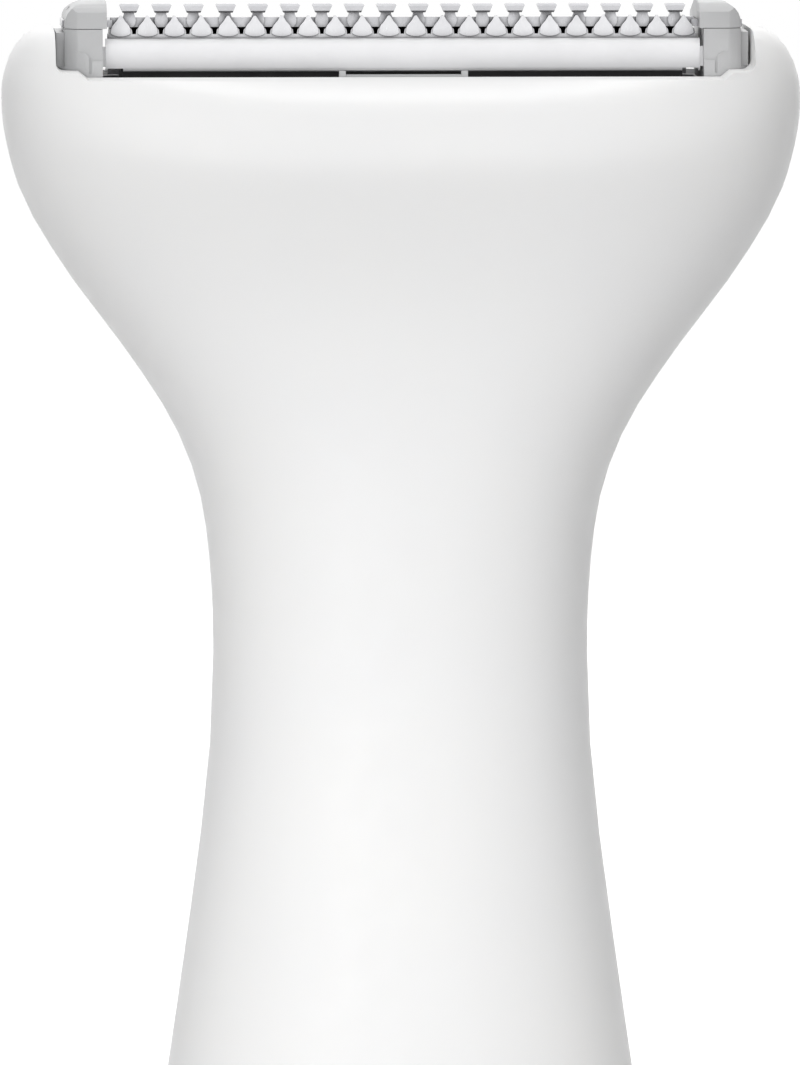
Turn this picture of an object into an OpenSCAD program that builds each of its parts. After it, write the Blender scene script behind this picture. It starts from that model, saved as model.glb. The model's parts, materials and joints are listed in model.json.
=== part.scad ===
/* [Body] */
// Width of the head across its shoulders
head_w = 49.8; // [49:0.1:54]
// Depth of the head at its lip
head_d = 26.4; // [25.5:0.1:30]
// Width of the waist
waist_w = 23.4; // [23:0.1:27]
// Depth of the waist
waist_d = 20.2; // [20:0.1:24]
// Drop from the rim of the head to the waist
waist_drop = 36.1; // [34:0.1:38]
// Width of the handle at its fullest
belly_w = 36; // [35:0.1:40]
// Depth of the handle at its fullest
belly_d = 29; // [28.5:0.1:33]
// Height of the fullest section above the base
belly_z = 49; // [45:0.5:52]
// Width of the body just above the base
base_w = 29.6; // [29:0.1:33]
// Depth of the body just above the base
base_d = 24.4; // [24:0.1:28]
// Radius of the rounded foot
foot_r = 2.2; // [1:0.1:3]
// Wall of the two shells
wall = 1.6; // [1.2:0.05:1.8]
// Squareness of the handle's sections, where 2 is an ellipse
section_power = 2.5; // [2.3:0.05:3]
// Squareness of the head's sections
head_power = 3.3; // [2.6:0.05:3.6]

/* [Head] */
// Drop from the top of the end caps to the rim of the notch
rim_drop = 4.6; // [4.2:0.1:5]
// Drop from the top of the end caps to the top of the shoulders
ear_drop = 1.7; // [1.4:0.05:2]
// Width of the notch and of the cutter's pocket
pocket_w = 43.4; // [43.3:0.05:44]
// Depth of the cutter's pocket, front to back
pocket_d = 11; // [10.9:0.1:11.6]
// Height of the step at each end of the notch
step_h = 0.42; // [0.2:0.02:0.6]
// Radius of the notch's lower corners
notch_r = 0.6; // [0.4:0.1:1]
// Drop of the lip's rounded top edge
crown_drop = 1.8; // [1.4:0.1:2.2]
// Rise of the lip from its middle to the notch's ends
crown_rise = 3.4; // [3:0.1:4]

/* [Cutter] */
// Number of fingers on the guard comb
comb_count = 18; // [16:1:18]
// Pitch of the comb's fingers
comb_pitch = 2; // [1.9:0.01:2]
// Width of a comb finger's neck
neck_w = 0.7; // [0.6:0.05:0.8]
// Width of a finger's blunt head
tip_w = 1.24; // [1.1:0.02:1.4]
// Height of a finger's blunt head
tip_h = 0.54; // [0.4:0.02:0.6]
// Number of teeth on the moving blade
tooth_count = 22; // [20:1:22]
// Pitch of the moving blade's teeth
tooth_pitch = 1.67; // [1.6:0.01:1.68]
// Thickness of the blade steel
blade_t = 0.4; // [0.3:0.02:0.44]
// Travel of the moving blade to each side
stroke = 0.8; // [0.5:0.05:0.85]

/* [Drive] */
// Distance from the motor's front face to the rim of the head
drive_h = 41.9; // [40:0.1:46]
// Height of the lever's pivot above the motor's front face
pivot_h = 19.5; // [18:0.1:21]
// Thickness of the frame's floor on the motor
plate_t = 1.9; // [1.6:0.1:2.4]
// Diameter of the motor
motor_dia = 15.5; // [14.5:0.1:15.6]
// Thickness of the motor across its flats
motor_flat = 12; // [11:0.1:12.4]
// Length of the motor's can
motor_len = 18.5; // [16:0.5:19]
// Diameter of the motor's shaft
shaft_dia = 1.5; // [1.2:0.1:2]
// Diameter of the crank pin on the eccentric
crank_dia = 1; // [0.8:0.1:1.2]
// Diameter of the lever's pivot pin
pivot_dia = 2; // [1.6:0.1:2.4]

/* [Handle] */
// Height of the battery cap
cap_h = 13; // [11:0.5:14]
// Diameter of the battery
cell_dia = 14.5; // [13.5:0.1:14.7]
// Length of the battery with its nub
cell_len = 50.5; // [49:0.5:51]
// Room for the circuit board between the battery's tube and the motor
bay_h = 17.5; // [17:0.1:20]
// Width of the switch button
button_w = 8; // [7:0.5:9]
// Height of the switch button
button_h = 10; // [9:0.5:11]
// Travel of the switch button
button_travel = 3; // [2:0.5:3]

/* [Hidden] */

// clearances
run_gap = 0.03;
seat_gap = 0.02;
fit_gap = 0.15;
seam_gap = 0.06;
cut = 0.5;
$fn = 40;

// levels of the stack inside, from the base up
cap_floor = 2.6;
cell_z = 10;
tube_top_z = cell_z + cell_len + 2;
switch_z = tube_top_z + 6;
motor_z = tube_top_z + bay_h + motor_len;
total_h = motor_z + drive_h + rim_drop;

// levels of the head
rim_z = total_h - rim_drop;
ear_z = total_h - ear_drop;
head_z = rim_z - 1.3;
lip_z = rim_z - 3.6;
shoulder_run = 2.8;
crown_y = pocket_d / 2 + 0.8;
crown_run = 5.4;
crown_slope = 0.28;
crown_power = 3.2;
lip_soft = 60;
cavity_top_z = rim_z - 2;
pocket_r = 2.5;

waist_z = rim_z - waist_drop;

// the well under the pocket
ledge_z = rim_z - 4.2;
sump_z = rim_z - 5.9;
well_t = 1.2;
well_wall = 0.85;
lug_r = 1.8;
lug = [12, pocket_d / 2 + 1.5];
lug_grip = 1.3;
post_dia = 1.44;
well_head_dia = 2.4;
sump_w = 10.4;
sump_d = 7;
gland_w = 7.4;
gland_d = 5.4;

// fittings
screw_dia = 1.6;
screw_hole = screw_dia + 0.04;
head_dia = 2.6;
bearing_dia = 4;
motor_screw_x = 5.2;
terminal_x = 4.2;

// The body's outline: each point is a share of the way from one section to the next,
// and the share of the change in size that has been made there.
flare_shape = [[0, 0], [0.165, 0.017], [0.3, 0.074], [0.42, 0.202], [0.55, 0.428],
    [0.68, 0.684], [0.81, 0.89], [0.92, 0.98], [1, 1]];
lip_shape = [[0, 0], [0.3, 0.05], [0.5, 0.14], [0.68, 0.34], [0.82, 0.64], [0.92, 0.88], [1, 1]];
handle_shape = [[0, 0], [0.1, 0.03], [0.22, 0.139], [0.34, 0.285], [0.48, 0.462],
    [0.62, 0.65], [0.76, 0.83], [0.89, 0.955], [1, 1]];

// levels of the drive, and the crank's throw that gives the blade its stroke
tip_z = rim_z - 3.4;
pivot_z = motor_z + pivot_h;
fork_z = motor_z + 6.7;
crank_z = fork_z + 1.3;
lever_tip_dia = 2.2;
throw = stroke * (pivot_z - crank_z) / (tip_z - pivot_z);
cheek_y = [4.6, 6.2];
tab_z = pivot_z - 8;
tab_x = half_w(tab_z) - wall - 2.9;

// the cutter, front to back and from the top down
frame_w = pocket_w - 2 * fit_gap;
frame_d = pocket_d - 2 * fit_gap;
block_in = pocket_w / 2 - 3;
block_out = pocket_w / 2 - 0.65;
seam_z = total_h - 1.6;
bar_z = total_h - 4.3;
bar_h = 2.04;
bar_half_w = block_in - 0.2;
bar_y = -4.3;
block_face_y = -frame_d / 2 + 0.25;
blade_y = -3.35;
leaf_z = seam_z - 1.4;
comb_y = blade_y + blade_t + 0.02;
sheet_t = 0.44;
carrier_z = rim_z - 0.8;
carrier_half_w = 17.5;
land_x = 20;
spring_x = 10;
pin_pitch = 5;
pin_y = 0.4;
teeth_half_w = tooth_pitch * tooth_count / 2;

// radii and places in the handle
cell_r = cell_dia / 2;
tube_in_r = cell_r + 0.2;
tube_r = cell_r + 2;
collar_r = tube_r + 0.45;
ring_z = cap_h + 2.4;
ring_dia = 1.3;
board_w = 2 * tube_in_r + 1.4;
board_t = 1;
board_h = bay_h - 3.9;
board_y = -3.6;
flange_y = half_d(switch_z + 10.5) - wall - 0.35;
window_half_h = button_h / 2 + button_travel / 2 + 0.3;

// Slope at point i of a curve p that starts and ends level
function slope(p, i) =
    i == 0 || i == len(p) - 1 ? 0 : (p[i + 1][1] - p[i - 1][1]) / (p[i + 1][0] - p[i - 1][0]);

// Smooth value at x of the curve through the points p
function along(p, x, i = 0) =
    i < len(p) - 2 && x > p[i + 1][0] ? along(p, x, i + 1) :
    let (h = p[i + 1][0] - p[i][0], t = (x - p[i][0]) / h)
    p[i][1] * (1 + 2 * t) * (1 - t) * (1 - t) + p[i + 1][1] * t * t * (3 - 2 * t)
    + h * slope(p, i) * t * (1 - t) * (1 - t) - h * slope(p, i + 1) * t * t * (1 - t);

function foot_inset(z) = z < foot_r ? foot_r - sqrt(foot_r * foot_r - (foot_r - z) * (foot_r - z)) : 0;
function dome(z, from) = 1 - sqrt(max(0, 1 - pow((z - from) / (ear_z - from), 2)));

// Half width and half depth of the body at height z
function half_w(z) =
    z < belly_z ? (base_w + (belly_w - base_w) * sin(90 * z / belly_z)) / 2 - foot_inset(z) :
    z < waist_z ? (waist_w + (belly_w - waist_w)
        * along(handle_shape, (waist_z - z) / (waist_z - belly_z))) / 2 :
    z < head_z ? (waist_w + (head_w - waist_w)
        * along(flare_shape, (z - waist_z) / (head_z - waist_z))) / 2 :
    head_w / 2 - shoulder_run * dome(z, head_z);
function half_d(z) =
    z < belly_z ? (base_d + (belly_d - base_d) * sin(90 * z / belly_z)) / 2 - foot_inset(z) :
    z < waist_z ? (waist_d + (belly_d - waist_d)
        * along(handle_shape, (waist_z - z) / (waist_z - belly_z))) / 2 :
    z < lip_z ? (waist_d + (head_d - waist_d)
        * along(lip_shape, (z - waist_z) / (lip_z - waist_z))) / 2 :
    head_d / 2;

// Squareness of the section at height z
function power_at(z) = z < waist_z ? section_power : section_power + (head_power - section_power)
    * along(flare_shape, min(1, (z - waist_z) / (head_z - waist_z)));

// Half depth that the lip's crown leaves at height z, off the middle by x: the lip rises towards
// the shoulders, is rounded over at its top and falls away gently to its ridge
function crown_top(x, z) =
    let (reach = z > rim_z + seat_gap ? max(abs(x), pocket_w / 2) : abs(x))
    rim_z + crown_rise * pow(2 * reach / pocket_w, crown_power);
function crown(x, z) =
    let (d = max(0, crown_top(x, z) - z), v = 1 - min(1, d / crown_drop))
    crown_y + crown_run * sqrt(1 - v * v) + crown_slope * d;
function soft_min(u, v) = u * pow(1 + pow(u / v, lip_soft), -1 / lip_soft);

// A point of the body's section at height z, drawn in by a wall t, at angle a
function bulge(v, power) = sign(v) * pow(abs(v), 2 / power);
function section_point(z, a, t = 0) =
    let (power = power_at(z), x = (half_w(z) - t) * bulge(cos(a), power))
    [x, soft_min(half_d(z) - t, crown(x, z) - t) * bulge(sin(a), power), z];

// A rectangle w by d with corners of radius r
function round_rect(w, d, r, n = 6) = [for (q = [0 : 3], i = [0 : n])
    let (t = 90 * (q + i / n), sx = q == 0 || q == 3 ? 1 : -1, sy = q < 2 ? 1 : -1)
    [sx * (w / 2 - r) + r * cos(t), sy * (d / 2 - r) + r * sin(t)]];

// Extrudes a profile drawn as [y, z] along X, centred, for a length of w
module along_x(w) {
    translate([-w / 2, 0, 0]) rotate([90, 0, 90]) linear_extrude(w) children();
}

// Extrudes a profile drawn as [x, z] along Y, from y0 to y1
module along_y(y0, y1) {
    translate([0, y1, 0]) rotate([90, 0, 0]) linear_extrude(y1 - y0) children();
}

// A box given by its lowest and highest corners
module block(lo, hi) {
    translate(lo) cube(hi - lo);
}

module mirrored_x() {
    children();
    mirror([1, 0, 0]) children();
}

// A round rod along Y
module rod_y(d, y0, y1) {
    translate([0, y1, 0]) rotate([90, 0, 0]) cylinder(d = d, h = y1 - y0);
}

// A screw with its head up at the origin and its shank below
module screw(head_d, head_h, shank_d, shank_len) {
    difference() {
        union() {
            cylinder(d = head_d, h = head_h);
            translate([0, 0, -shank_len]) cylinder(d = shank_d, h = shank_len + head_h / 2);
        }
        for (a = [0, 90])
            translate([0, 0, head_h]) rotate(a) cube([head_d * 0.65, head_h * 0.35, head_h], center = true);
    }
}

// ---- housing ----

shell_levels = concat(
    [for (i = [0 : 16]) cap_h + (waist_z - cap_h) * i / 16],
    [for (i = [1 : 15]) waist_z + (rim_z - 7 - waist_z) * i / 15],
    [for (drop = [6.2, 5.6, 5, 4.3, 3.4, 2.6, 2, 1.5, 1.05, 0.7, 0.4, 0.18, 0.05, -0.01]) rim_z - drop],
    [for (i = [1 : 5]) rim_z + (ear_z - rim_z) * sin(18 * i)]);
cavity_levels = len([for (z = shell_levels) if (z <= cavity_top_z) 1]);
half_steps = 24;

// One moulded half of the body, on the side of side * Y, as one skin with its seam on y = 0
module half_shell(side) {
    n = half_steps + 1;
    outer = [for (z = shell_levels, i = [0 : half_steps])
        section_point(z, side * 180 * i / half_steps)];
    inner = [for (k = [0 : cavity_levels - 1], i = [0 : half_steps])
        section_point(shell_levels[k], side * 180 * i / half_steps, wall)];
    levels = len(shell_levels);
    start = levels * n;
    faces = concat(
        [for (k = [0 : levels - 2], i = [0 : half_steps - 1], h = [0, 1])
            let (p = k * n + i)
            h == 0 ? [p, p + n, p + n + 1] : [p, p + n + 1, p + 1]],
        [for (k = [0 : cavity_levels - 2], i = [0 : half_steps - 1], h = [0, 1])
            let (p = start + k * n + i)
            h == 0 ? [p, p + n + 1, p + n] : [p, p + 1, p + n + 1]],
        [for (k = [0 : cavity_levels - 2], e = [0, half_steps])
            let (o = k * n + e, q = start + k * n + e)
            e == 0 ? [o, q, q + n, o + n] : [o, o + n, q + n, q]],
        [for (i = [0 : half_steps - 1])
            let (q = start + i) [i, i + 1, q + 1, q]],
        [[for (i = [0 : half_steps]) start + (cavity_levels - 1) * n + i]],
        [for (i = [0 : half_steps / 2 - 2])
            let (o = (levels - 1) * n, j = half_steps - i)
            [o + j, o + j - 1, o + i + 1, o + i]],
        [let (o = (levels - 1) * n + half_steps / 2) [o + 1, o, o - 1]],
        [let (o = (cavity_levels - 1) * n, q = start + o)
            [o + n, o, q, q + half_steps, o + half_steps, o + n + half_steps]],
        [for (k = [cavity_levels : levels - 2])
            [k * n + half_steps, (k + 1) * n + half_steps, (k + 1) * n, k * n]]);
    translate([0, side * seam_gap / 2, 0])
        polyhedron(concat(outer, inner),
            side > 0 ? faces : [for (f = faces) [for (i = [len(f) - 1 : -1 : 0]) f[i]]]);
}

// The gap between the shoulders, with a low step at each end
module notch() {
    w = pocket_w / 2;
    foot = rim_z + step_h;
    corner = [for (i = [0 : 6]) [w - notch_r * (1 - sin(15 * i)), foot + notch_r * (1 - cos(15 * i))]];
    side = concat([[w - 2, rim_z], [w - 1.45, foot]], corner, [[w, total_h + 5]]);
    along_y(-head_d, head_d) polygon(concat(
        side, [for (i = [len(side) - 1 : -1 : 0]) [-side[i][0], side[i][1]]]));
}

// The outline shared by the pocket and the parts that sit in it
module pocket_shape(spare = 0) {
    polygon(round_rect(pocket_w + 2 * spare, pocket_d + 2 * spare, pocket_r + spare));
}

// What the two shells give up to the well, the notch and the pocket
module head_cuts() {
    notch();
    translate([0, 0, cavity_top_z - 1]) linear_extrude(total_h) pocket_shape();
    translate([0, 0, ledge_z - well_t - seat_gap]) linear_extrude(cavity_top_z - ledge_z + well_t + seat_gap)
        pocket_shape(well_wall + 0.05);
    for (x = [-lug[0], lug[0]], y = [-lug[1], lug[1]])
        translate([x, y, cavity_top_z - cut]) cylinder(d = post_dia, h = cut + lug_grip);
}

module front_shell() {
    boss_y = half_d(tab_z) - wall - 1.6;
    color([0.95, 0.95, 0.95]) difference() {
        union() {
            half_shell(-1);
            for (x = [-tab_x, tab_x])
                translate([x, 0, tab_z]) rod_y(3.6, -boss_y, -cheek_y[0] - 0.22);
        }
        head_cuts();
        for (x = [-tab_x, tab_x])
            translate([x, 0, tab_z]) rod_y(screw_hole, -boss_y + 0.6, 0);
        // the switch's window
        translate([0, 0, switch_z]) along_y(-head_d, 0)
            polygon(round_rect(button_w + 0.6, 2 * window_half_h, 2.4));
    }
}

module rear_shell() {
    color([0.94, 0.94, 0.94]) difference() {
        half_shell(1);
        head_cuts();
    }
}

module cutter_well() {
    ring_h = cavity_top_z - ledge_z + well_t - seat_gap;
    color([0.88, 0.88, 0.89]) difference() {
        union() {
            translate([0, 0, ledge_z - well_t]) linear_extrude(ring_h) pocket_shape(well_wall);
            translate([0, 0, sump_z - well_t]) linear_extrude(ledge_z - sump_z)
                polygon(round_rect(sump_w + 2, sump_d + 2, 1.6));
            for (x = [-lug[0], lug[0]], side = [-1, 1])
                translate([x, 0, ledge_z]) {
                    translate([0, side * lug[1], 0]) cylinder(r = lug_r, h = ring_h - well_t);
                    block([-lug_r, side > 0 ? pocket_d / 2 + 0.1 : -lug[1], 0],
                        [lug_r, side > 0 ? lug[1] : -pocket_d / 2 - 0.1, ring_h - well_t]);
                }
        }
        translate([0, 0, ledge_z]) linear_extrude(total_h) pocket_shape();
        translate([0, 0, sump_z]) linear_extrude(total_h) polygon(round_rect(sump_w, sump_d, 1));
        translate([0, 0, sump_z - 2 * well_t]) linear_extrude(total_h) polygon(round_rect(gland_w, gland_d, 1));
        for (x = [-lug[0], lug[0]], y = [-lug[1], lug[1]]) {
            translate([x, y, ledge_z - cut]) cylinder(d = post_dia, h = total_h);
            translate([x, y, ledge_z - 2 * well_t]) cylinder(d = well_head_dia + 0.1, h = 2 * well_t);
        }
    }
}

// A rubber wiper round the lever where it enters the well
module drive_seal() {
    color([0.16, 0.16, 0.17]) translate([0, 0, sump_z - well_t - 0.8]) difference() {
        union() {
            linear_extrude(0.78) polygon(round_rect(gland_w + 2, gland_d + 2, 1.2));
            linear_extrude(well_t + 0.8) polygon(round_rect(gland_w - 0.1, gland_d - 0.1, 1));
        }
        translate([0, 0, -cut]) linear_extrude(4) polygon(round_rect(4.9, 3.2, 0.8));
    }
}

module well_screws() {
    color([0.7, 0.7, 0.72]) for (x = [-lug[0], lug[0]], y = [-lug[1], lug[1]])
        translate([x, y, ledge_z - seat_gap]) mirror([0, 0, 1])
            screw(well_head_dia, 0.9, post_dia - 2 * seat_gap, cavity_top_z - ledge_z + lug_grip - 0.2);
}

// ---- handle ----

// A solid lofted through the body's own sections at the given heights
module body_loft(levels) {
    n = 44;
    last = (len(levels) - 1) * n;
    polyhedron(
        [for (z = levels, i = [0 : n - 1]) section_point(z, 360 * i / n)],
        concat(
            [for (k = [0 : len(levels) - 2], i = [0 : n - 1], h = [0, 1])
                let (p = k * n, j = (i + 1) % n)
                h == 0 ? [p + i, p + n + i, p + n + j] : [p + i, p + n + j, p + j]],
            [[for (i = [0 : n - 1]) i]],
            [[for (i = [n - 1 : -1 : 0]) last + i]]));
}

module battery_cap() {
    top = cap_h - seam_gap;
    color([0.94, 0.94, 0.94]) difference() {
        union() {
            body_loft(concat([for (i = [0 : 5]) foot_r * (1 - cos(18 * i))],
                [for (i = [1 : 4]) foot_r + (top - foot_r) * i / 4]));
            translate([0, 0, cap_h - 2]) cylinder(r = collar_r + 1.1, h = 7, $fn = 64);
        }
        translate([0, 0, cap_floor]) cylinder(r = collar_r, h = 40, $fn = 64);
        // lead-in for the ring
        translate([0, 0, cap_h + 4.4]) cylinder(r1 = collar_r, r2 = collar_r + 0.5, h = 0.7, $fn = 64);
    }
}

module cap_o_ring() {
    color([0.75, 0.3, 0.2]) translate([0, 0, ring_z])
        rotate_extrude($fn = 64) translate([collar_r - seat_gap - ring_dia / 2, 0])
            circle(d = ring_dia, $fn = 20);
}

module negative_plate() {
    color([0.8, 0.78, 0.7]) {
        difference() {
            translate([0, 0, cap_floor + seat_gap]) cylinder(r = cell_r + 0.6, h = 0.3);
            for (a = [0 : 120 : 240])
                rotate(a) translate([1.8, 0, 2]) cylinder(d = 1.4, h = 2);
        }
        block([-cell_r - 0.95, -1.5, cap_floor + seat_gap], [-cell_r - 0.5, 1.5, cell_z - 0.7]);
    }
}

// A coil of wire of diameter d, from radius r0 at the bottom to r1 at the top of height h
module coil(d, r0, r1, h, turns, around = 18, sides = 6) {
    steps = turns * around;
    points = [for (k = [0 : steps], i = [0 : sides - 1])
        let (a = 360 * k / around, f = k / steps, t = 360 * i / sides,
            r = r0 + (r1 - r0) * f + d / 2 * cos(t))
        [r * cos(a), r * sin(a), d / 2 + (h - d) * f + d / 2 * sin(t)]];
    polyhedron(points, concat(
        [for (k = [0 : steps - 1], i = [0 : sides - 1], m = [0, 1])
            let (p = k * sides, j = (i + 1) % sides)
            m == 0 ? [p + i, p + sides + i, p + sides + j] : [p + i, p + sides + j, p + j]],
        [[for (i = [0 : sides - 1]) i]],
        [[for (i = [sides - 1 : -1 : 0]) steps * sides + i]]));
}

module negative_spring() {
    color([0.8, 0.78, 0.7]) translate([0, 0, cap_floor + 0.36])
        coil(0.7, 5.6, 3.2, cell_z - cap_floor - 0.42, 4);
}

module battery() {
    color([0.25, 0.3, 0.33]) translate([0, 0, cell_z]) rotate_extrude($fn = 56) polygon([
        [0, 0.15], [cell_r - 1.6, 0.15], [cell_r - 1.2, 0], [cell_r - 0.3, 0], [cell_r, 0.3],
        [cell_r, cell_len - 1.6], [cell_r - 0.4, cell_len - 1.2], [2.75, cell_len - 1.2],
        [2.75, cell_len - 0.2], [2.55, cell_len], [0, cell_len]]);
}

// The cradle round the battery, with wings that reach the shells
module battery_tube() {
    groove_r = collar_r - ring_dia - 2 * seat_gap;
    wing_x = base_w / 2 - wall + 2;
    color([0.86, 0.86, 0.87]) difference() {
        union() {
            translate([0, 0, cell_z - 0.4]) cylinder(r = tube_r, h = tube_top_z - cell_z + 0.4, $fn = 64);
            for (z = [cap_h + 14, tube_top_z - 14])
                block([-wing_x, -1, z], [wing_x, 1, z + 8]);
        }
        translate([0, 0, cell_z - 1]) cylinder(r = tube_in_r, h = cell_len + 1.5, $fn = 64);
        translate([0, 0, cell_z - 1]) cylinder(d = 7, h = cell_len + 2);
        // the strip's channel, and slots for the two contacts
        block([-tube_in_r - 0.5, -1.7, 0], [0, 1.7, tube_top_z + 1]);
        block([2.4, -2.8, cell_z], [5.4, -2.1, tube_top_z + 1]);
        // flat for the switch
        block([-tube_r, -tube_r - 1, tube_top_z - 9], [tube_r, -flange_y + 1.4, tube_top_z + 1]);
        translate([0, 0, ring_z]) rotate_extrude($fn = 64)
            translate([groove_r, -ring_dia / 2 - 0.05]) square([2, ring_dia + 0.1]);
    }
}

module positive_contact() {
    color([0.8, 0.78, 0.7]) {
        translate([0, 0, cell_z + cell_len + 0.03]) cylinder(r = 3.3, h = 0.3);
        block([1, -2.6, cell_z + cell_len + 0.03], [5.2, -2.3, cell_z + cell_len + 0.33]);
        block([2.6, -2.6, cell_z + cell_len + 0.03], [5.2, -2.3, tube_top_z + 3.4]);
    }
}

module return_strip() {
    color([0.8, 0.78, 0.7]) {
        block([-tube_in_r - 0.4, -1.5, cell_z - 0.3], [-tube_in_r - 0.1, 1.5, tube_top_z + 3.4]);
        block([-tube_in_r - 0.4, board_y + board_t + seat_gap, tube_top_z + 0.8],
            [-tube_in_r - 0.1, 0, tube_top_z + 3.4]);
    }
}

module circuit_board() {
    color([0.12, 0.35, 0.2]) difference() {
        translate([0, 0, tube_top_z + 0.6 + board_h / 2]) along_y(board_y, board_y + board_t)
            polygon(round_rect(board_w, board_h, 1));
        for (x = [-6, 6])
            translate([x, 0, tube_top_z + board_h - 1.6]) rod_y(1.6, board_y - 1, board_y + 2);
    }
}

module board_components() {
    y = board_y + board_t + seat_gap;
    z = tube_top_z + 4.4;
    color([0.2, 0.2, 0.22]) {
        block([-2.4, y, z], [1.6, y + 1.4, z + 4]);
        for (i = [0 : 3])
            block([-2.8 + 0.1, y, z + 0.35 + i], [-2.3, y + 0.5, z + 0.75 + i]);
        for (i = [0 : 3])
            block([1.5, y, z + 0.35 + i], [2, y + 0.5, z + 0.75 + i]);
    }
    color([0.75, 0.65, 0.45]) for (i = [0 : 3])
        block([3.4, y, z - 0.4 + 1.6 * i], [5.2, y + 0.8, z + 0.6 + 1.6 * i]);
}

module slide_switch() {
    y = board_y - seat_gap;
    color([0.7, 0.7, 0.72]) difference() {
        block([-2.3, y - 3, switch_z - 4.6], [2.3, y, switch_z + 4.6]);
        block([-1, y - 4, switch_z - button_travel / 2 - 1.2],
            [1, y - 0.6, switch_z + button_travel / 2 + 1.2]);
    }
}

module switch_knob() {
    z = switch_z - button_travel / 2;
    color([0.1, 0.1, 0.1]) {
        block([-0.7, -flange_y + 1.2, z - 0.8], [0.7, board_y - 1.4, z + 0.8]);
        block([-0.8, board_y - 2.6, z - 1], [0.8, board_y - 1.4, z + 1]);
    }
}

module switch_button() {
    z = switch_z - button_travel / 2;
    face_y = half_d(switch_z) + 1.1;
    ribs = 5;
    color([0.9, 0.9, 0.91]) translate([0, 0, z]) difference() {
        union() {
            along_y(-face_y, -flange_y + 0.1) polygon(round_rect(button_w, button_h, 2.1));
            along_y(-flange_y, -flange_y + 0.8)
                polygon(round_rect(button_w + 2.6, 2 * window_half_h + button_travel + 0.8, 2));
            for (side = [-1, 1])
                translate([-1.6, -flange_y + 0.4, side * 1.4 - 0.5]) cube([3.2, 2, 1]);
        }
        // a shallow hollow for the thumb, crossed by ridges
        difference() {
            translate([0, -face_y - 13.2, 0]) rotate([0, 90, 0])
                cylinder(r = 14, h = 2 * button_w, center = true, $fn = 96);
            for (i = [0 : ribs - 1])
                translate([-button_w, -face_y - 0.1, (i - (ribs - 1) / 2) * 1.4 - 0.25])
                    cube([2 * button_w, 2, 0.5]);
        }
    }
}

// ---- drive ----

module motor_flat_shape(spare = 0) {
    intersection() {
        circle(d = motor_dia + 2 * spare, $fn = 64);
        square([2 * motor_dia, motor_flat + 2 * spare], center = true);
    }
}

module motor_can() {
    color([0.72, 0.72, 0.74]) difference() {
        translate([0, 0, motor_z - motor_len]) linear_extrude(motor_len) motor_flat_shape();
        translate([0, 0, motor_z - motor_len - cut]) cylinder(d = shaft_dia + 1.2, h = motor_len + 1);
        translate([0, 0, motor_z - 1.2]) cylinder(d = bearing_dia + 0.04, h = 2);
        for (x = [-motor_screw_x, motor_screw_x])
            translate([x, 0, motor_z - 2]) cylinder(d = screw_hole, h = 3);
        for (a = [0, 180])
            rotate(a) translate([motor_dia / 2, 0, motor_z - motor_len / 2]) cube([0.8, 4, 6], center = true);
    }
}

module motor_end_bell() {
    color([0.15, 0.15, 0.16]) translate([0, 0, motor_z - motor_len - 2.4]) difference() {
        union() {
            linear_extrude(2.38) motor_flat_shape(-0.3);
            translate([0, 0, -0.9]) cylinder(d = 5, h = 2);
        }
        translate([0, 0, 0.2]) cylinder(d = shaft_dia + 2 * run_gap, h = 4);
        for (x = [-terminal_x, terminal_x])
            translate([x, 0, 1]) cube([0.84, 2.44, 6], center = true);
    }
}

module motor_terminals() {
    color([0.8, 0.62, 0.3]) for (x = [-terminal_x, terminal_x])
        difference() {
            translate([x - 0.4, -1.2, motor_z - motor_len - 5]) cube([0.8, 2.4, 4.6]);
            translate([x - 1, 0, motor_z - motor_len - 4]) rotate([0, 90, 0]) cylinder(d = 1, h = 2);
        }
}

module motor_bearing() {
    color([0.75, 0.6, 0.3]) difference() {
        union() {
            translate([0, 0, motor_z - 1.18]) cylinder(d = bearing_dia, h = 2.1);
            translate([0, 0, motor_z + 0.9]) cylinder(d = 3, h = 0.3);
        }
        translate([0, 0, motor_z - 3]) cylinder(d = shaft_dia + 2 * run_gap, h = 6);
    }
}

module motor_shaft() {
    bottom = motor_z - motor_len - 1.9;
    color([0.8, 0.8, 0.82]) translate([0, 0, bottom]) cylinder(d = shaft_dia, h = motor_z + 5.2 - bottom);
}

module eccentric() {
    color([0.85, 0.85, 0.82]) difference() {
        union() {
            translate([0, 0, motor_z + 2.5]) cylinder(d = 5, h = 3.4);
            translate([throw, 0, motor_z + 5]) cylinder(d = crank_dia, h = fork_z + 3.4 - motor_z - 5);
        }
        translate([0, 0, motor_z + 1]) cylinder(d = shaft_dia + 2 * seat_gap, h = 4.24);
    }
}

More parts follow.
